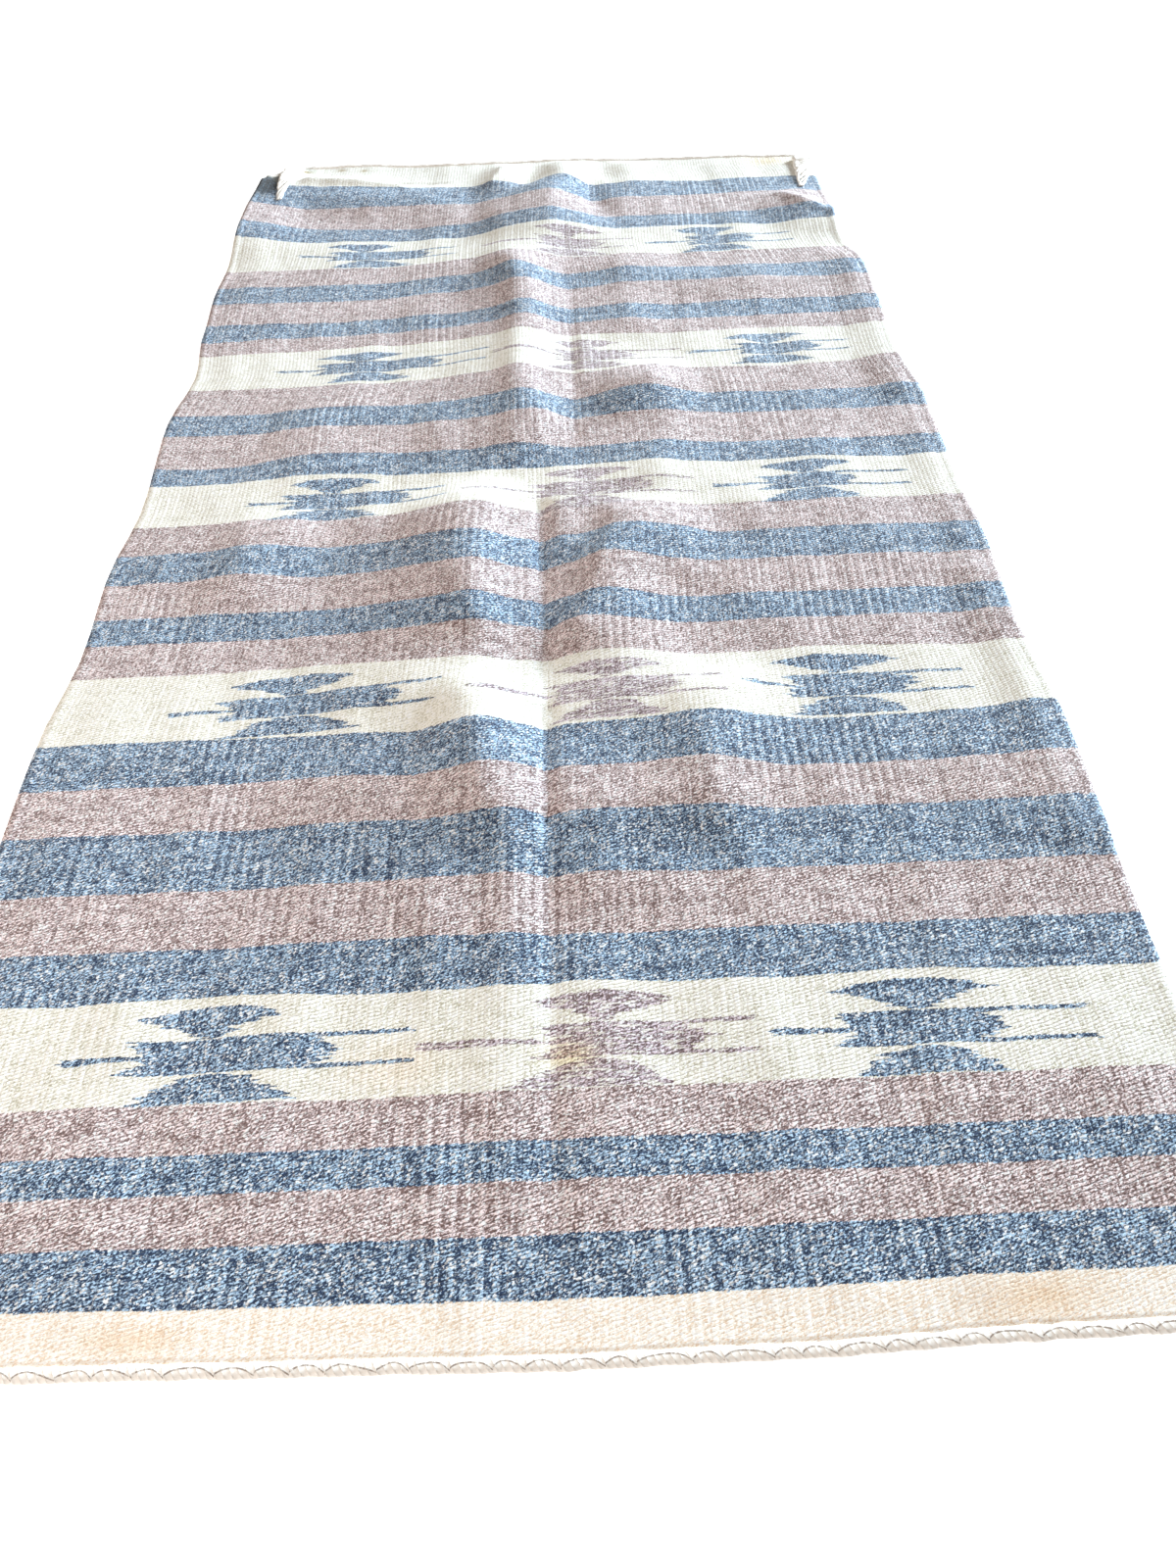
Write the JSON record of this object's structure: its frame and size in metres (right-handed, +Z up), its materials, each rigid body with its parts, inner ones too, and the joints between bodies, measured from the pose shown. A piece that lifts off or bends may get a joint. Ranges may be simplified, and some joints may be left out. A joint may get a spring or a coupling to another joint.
{
  "type": "serape",
  "caption": "Handwoven banded cotton serape lying flat with soft folds, with twined end edges and cream corner tails.",
  "frame": {"origin": "on the floor under the middle of the bounding box", "axes": "+X across the cloth, to the right in the picture; +Y along the cloth, away from the camera; +Z up"},
  "size_m": [0.772, 1.5963, 0.0318],
  "materials": {
    "banded_cloth": "matt, ribbed, weft-faced cotton in blue, mauve and cream bands",
    "cream_yarn": "matt twisted cream cotton"
  },
  "bodies": {
    "root": {"cloth": "banded_cloth", "end_braid_near": "cream_yarn", "end_braid_far": "cream_yarn", "corner_tail_far_left": "cream_yarn", "corner_tail_far_right": "cream_yarn"}
  },
  "joints": []
}
